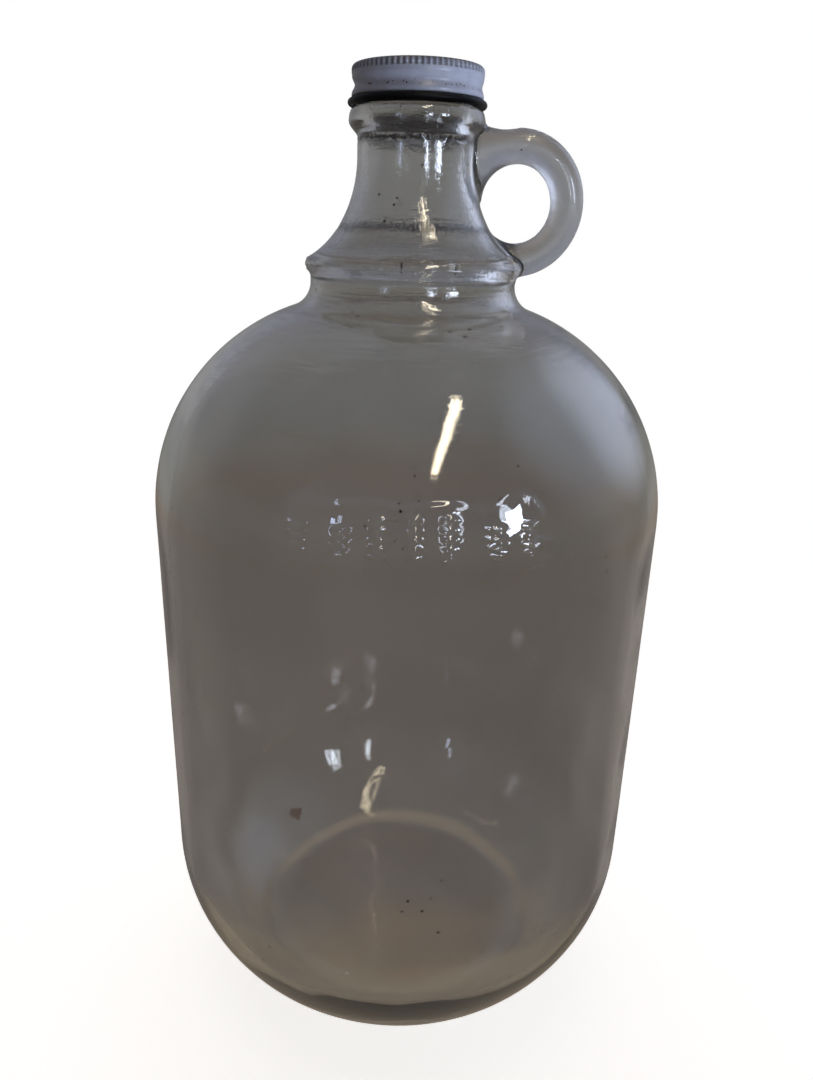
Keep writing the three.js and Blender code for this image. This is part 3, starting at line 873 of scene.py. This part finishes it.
class JUG_OT_stage(bpy.types.Operator):
    """Makes the pale floor, the soft light and the camera"""

    bl_idname = "jug.stage"
    bl_label = "Stage"

    def execute(self, context):
        settings = context.scene.jug_stage
        scene = context.scene
        self.floor(settings)
        self.room(scene, settings)
        self.lights(scene)
        camera = bpy.data.cameras.new("camera")
        camera.lens, camera.sensor_width = settings.lens, 36.0
        camera.clip_start = 0.01
        stand = bpy.data.objects.new("camera", camera)
        stand.matrix_world = (Matrix.Translation(CAMERA_AT)
                              @ Matrix.Rotation(math.radians(CAMERA_TILT), 4, "X")
                              @ Matrix.Rotation(math.radians(CAMERA_ROLL), 4, "Z"))
        scene.collection.objects.link(stand)
        scene.camera = stand
        scene.view_settings.view_transform = "Standard"
        scene.cycles.max_bounces = 14
        scene.cycles.transmission_bounces = 14
        scene.cycles.glossy_bounces = 5
        return {"FINISHED"}

    def floor(self, settings):
        """Matt paper that only the camera sees, white far off: the glass shows the room below it instead."""
        bm = bmesh.new()
        bmesh.ops.create_circle(bm, cap_ends=True, radius=4, segments=64)
        mesh = bpy.data.meshes.new("floor")
        bm.to_mesh(mesh)
        bm.free()
        material, tree = new_material("matt_paper")
        pale = node(tree, "BsdfDiffuse", {"Color": settings.floor})
        glow = node(tree, "Emission", {"Color": settings.floor, "Strength": 0.88})
        paper = node(tree, "AddShader", links={0: pale.outputs[0], 1: glow.outputs[0]})
        place = node(tree, "TexCoord").outputs["Object"]
        away = node(tree, "VectorMath", links={0: place}, operation="LENGTH")
        far = node(tree, "MapRange", {"From Min": 0.1, "From Max": 0.65}, {"Value": away.outputs["Value"]},
                   interpolation_type="SMOOTHSTEP")
        white = node(tree, "Emission", {"Color": (1, 1, 1, 1)})
        faded = node(tree, "MixShader",
                     links={0: far.outputs["Result"], 1: paper.outputs[0], 2: white.outputs[0]})
        gone = node(tree, "BsdfTransparent")
        mixed = only_for(tree, "Is Camera Ray", faded, gone)
        node(tree, "OutputMaterial", links={"Surface": mixed.outputs[0]})
        mesh.materials.append(material)
        floor = bpy.data.objects.new("floor", mesh)
        bpy.context.scene.collection.objects.link(floor)

    def room(self, scene, settings):
        """White to the camera, a soft studio to the cap and the floor, and a grey room to the glass."""
        world = bpy.data.worlds.new("studio")
        scene.world = world
        world.use_nodes = True
        tree = world.node_tree
        tree.nodes.clear()
        way = node(tree, "TexCoord").outputs["Generated"]
        rise = node(tree, "MapRange", {"From Min": -1.0, "From Max": 1.0},
                    {"Value": node(tree, "SeparateXYZ", links={"Vector": way}).outputs["Z"]})
        tones = node(tree, "ValToRGB", links={"Fac": rise.outputs["Result"]})
        stops = tones.color_ramp.elements
        while len(stops) < len(ROOM_TONES):
            stops.new(0.5)
        for stop, (elevation, tone) in zip(stops, ROOM_TONES):
            stop.position = 0.5 + 0.5 * math.sin(math.radians(elevation))
            stop.color = linear(tone)
        clouds = node(tree, "TexNoise", {"Scale": 2.6, "Detail": 2}, {"Vector": way})
        uneven = node(tree, "MapRange",
                      {"From Min": 0.3, "From Max": 0.7, "To Min": 0.85, "To Max": 1.15},
                      {"Value": clouds.outputs["Fac"]})
        grey = node(tree, "VectorMath",
                    links={0: tones.outputs["Color"], "Scale": uneven.outputs["Result"]}, operation="SCALE")
        room = node(tree, "Background",
                    links={"Color": with_glows(tree, way, grey.outputs["Vector"], ROOM_GLOWS)})
        dim = node(tree, "VectorMath", {0: settings.studio[:3], 1: (0, 0, 0)}, operation="ADD")
        studio = node(tree, "Background",
                      links={"Color": with_glows(tree, way, dim.outputs["Vector"], STUDIO_GLOWS)})
        white = node(tree, "Background", {"Color": (1, 1, 1, 1), "Strength": 1.0})
        lit = only_for(tree, "Is Diffuse Ray", studio, room)
        mixed = only_for(tree, "Is Camera Ray", white, lit)
        node(tree, "OutputWorld", links={"Surface": mixed.outputs[0]})

    def lights(self, scene):
        """Windows in front and warm strips overhead, which only glass and gloss see."""
        for name, azimuth, elevation, away, wide, high, radiance, colour in WINDOWS:
            place = Vector((0, 0, 0.19)) + heading(azimuth, elevation) * away
            turn = (-heading(azimuth, elevation)).to_track_quat("-Z", "Y").to_euler()
            self.lamp(scene, name, place, turn, (wide, high), radiance, colour)
        for name, x, wide in STRIPS:
            self.lamp(scene, name, (x, STRIP_Y, STRIP_Z), (0, 0, 0), (wide, STRIP_LONG), STRIP_RADIANCE,
                      "#FFF0D2")

    def lamp(self, scene, name, place, turn, size, radiance, colour):
        light = bpy.data.lights.new(name, "AREA")
        light.shape, light.size, light.size_y = "RECTANGLE", size[0], size[1]
        light.energy, light.color = radiance * math.pi * size[0] * size[1], linear(colour)[:3]
        lamp = bpy.data.objects.new(name, light)
        lamp.location = place
        lamp.rotation_euler = turn
        lamp.visible_camera = False
        lamp.visible_diffuse = False
        scene.collection.objects.link(lamp)


class JUG_PT_panel(bpy.types.Panel):
    """Lists what makes the jug"""

    bl_idname = "JUG_PT_panel"
    bl_label = "Glass jug"
    bl_space_type = "VIEW_3D"
    bl_region_type = "UI"
    bl_category = "Jug"

    def draw(self, context):
        for group, operators in GROUPS:
            box = self.layout.box()
            settings = getattr(context.scene, group)
            for name in settings.__class__.__annotations__:
                box.prop(settings, name)
            for made in operators:
                box.operator(made.bl_idname)


GROUPS = (
    ("jug_glass", (JUG_OT_glass,)),
    ("jug_cap", (JUG_OT_cap,)),
    ("jug_seal", (JUG_OT_seal, JUG_OT_liner)),
    ("jug_stage", (JUG_OT_stage,)),
)
SETTINGS = {"jug_glass": GlassSettings, "jug_cap": CapSettings, "jug_seal": SealSettings,
            "jug_stage": StageSettings}
CLASSES = [*SETTINGS.values(), *(made for _, made_by in GROUPS for made in made_by), JUG_PT_panel]


def register():
    for made in CLASSES:
        bpy.utils.register_class(made)
    for name, group in SETTINGS.items():
        setattr(bpy.types.Scene, name, bpy.props.PointerProperty(type=group))


def unregister():
    for name in SETTINGS:
        delattr(bpy.types.Scene, name)
    for made in reversed(CLASSES):
        bpy.utils.unregister_class(made)


def main():
    register()
    bpy.ops.jug.stage()
    bpy.ops.jug.glass()
    bpy.ops.jug.cap()
    bpy.ops.jug.seal()
    bpy.ops.jug.liner()


if __name__ == "__main__":
    main()
